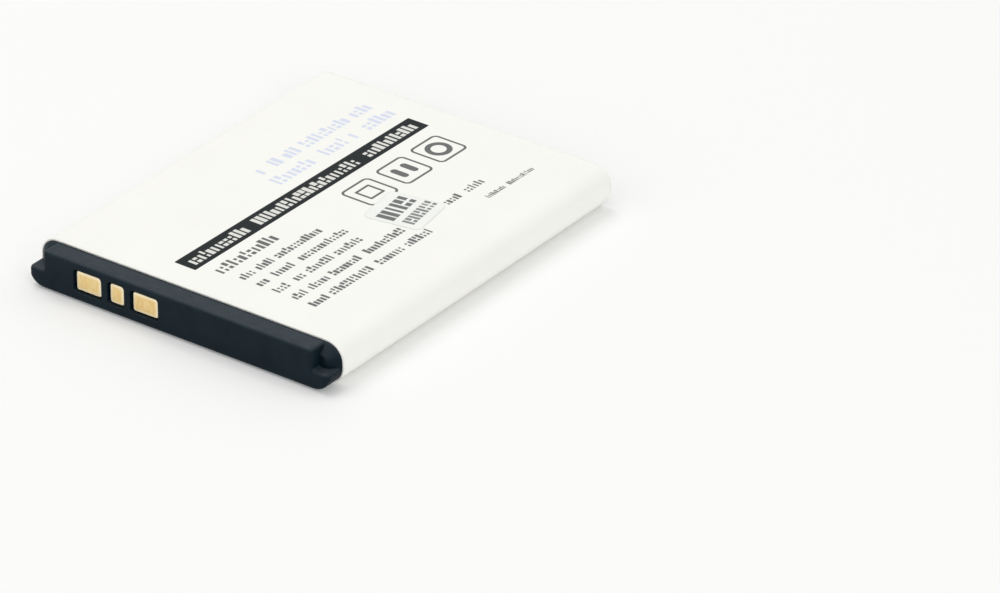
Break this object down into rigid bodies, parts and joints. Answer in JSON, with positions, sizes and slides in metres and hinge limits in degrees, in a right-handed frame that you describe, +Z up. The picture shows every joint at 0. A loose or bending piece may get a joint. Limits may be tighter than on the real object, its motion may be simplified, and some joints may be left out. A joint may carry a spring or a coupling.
{
  "type": "mobile phone battery",
  "caption": "Flat phone battery with rounded sides: a printed white sleeve, a black contact cap with gold contacts in windows and notched corners, and a plain closed end.",
  "frame": {"origin": "on the ground under the middle of the pack, which lies on its plain back", "axes": "+Z up out of the printed face, +Y along the pack towards the plain end, +X to the right when the contact end faces the viewer"},
  "size_m": [0.038, 0.0474, 0.0047],
  "materials": {
    "label_film": "satin printed film",
    "cap_plastic": "fine moulded texture",
    "contact_gold": "gold plated",
    "board_laminate": "solder resist",
    "cell_aluminium": "drawn",
    "gasket_plastic": "moulded",
    "nickel_strip": "nickel",
    "insulator_sheet": "thin sheet",
    "cutoff_body": "moulded",
    "package_epoxy": "moulded",
    "chip_body": "fired",
    "adhesive_pad": "foam",
    "sticker_film": "satin"
  },
  "bodies": {
    "root": {"label_wrap": "label_film", "contact_cap": "cap_plastic", "end_cap": "cap_plastic", "contact_positive": "contact_gold", "contact_identification": "contact_gold", "contact_negative": "contact_gold", "protection_board": "board_laminate", "cell_can": "cell_aluminium", "terminal_gasket": "gasket_plastic", "terminal_rivet": "nickel_strip", "fill_hole_plug": "cell_aluminium", "lid_insulator": "insulator_sheet", "positive_tab": "nickel_strip", "negative_tab": "nickel_strip", "board_tab": "nickel_strip", "thermal_cutoff": "cutoff_body", "end_adhesive_pad": "adhesive_pad", "inspection_sticker": "sticker_film", "mosfet_pair": "package_epoxy", "protection_ic": "package_epoxy", "sense_resistor": "chip_body", "supply_capacitor": "chip_body", "supply_resistor": "chip_body", "bypass_capacitor": "chip_body", "identification_resistor": "chip_body"}
  },
  "joints": []
}
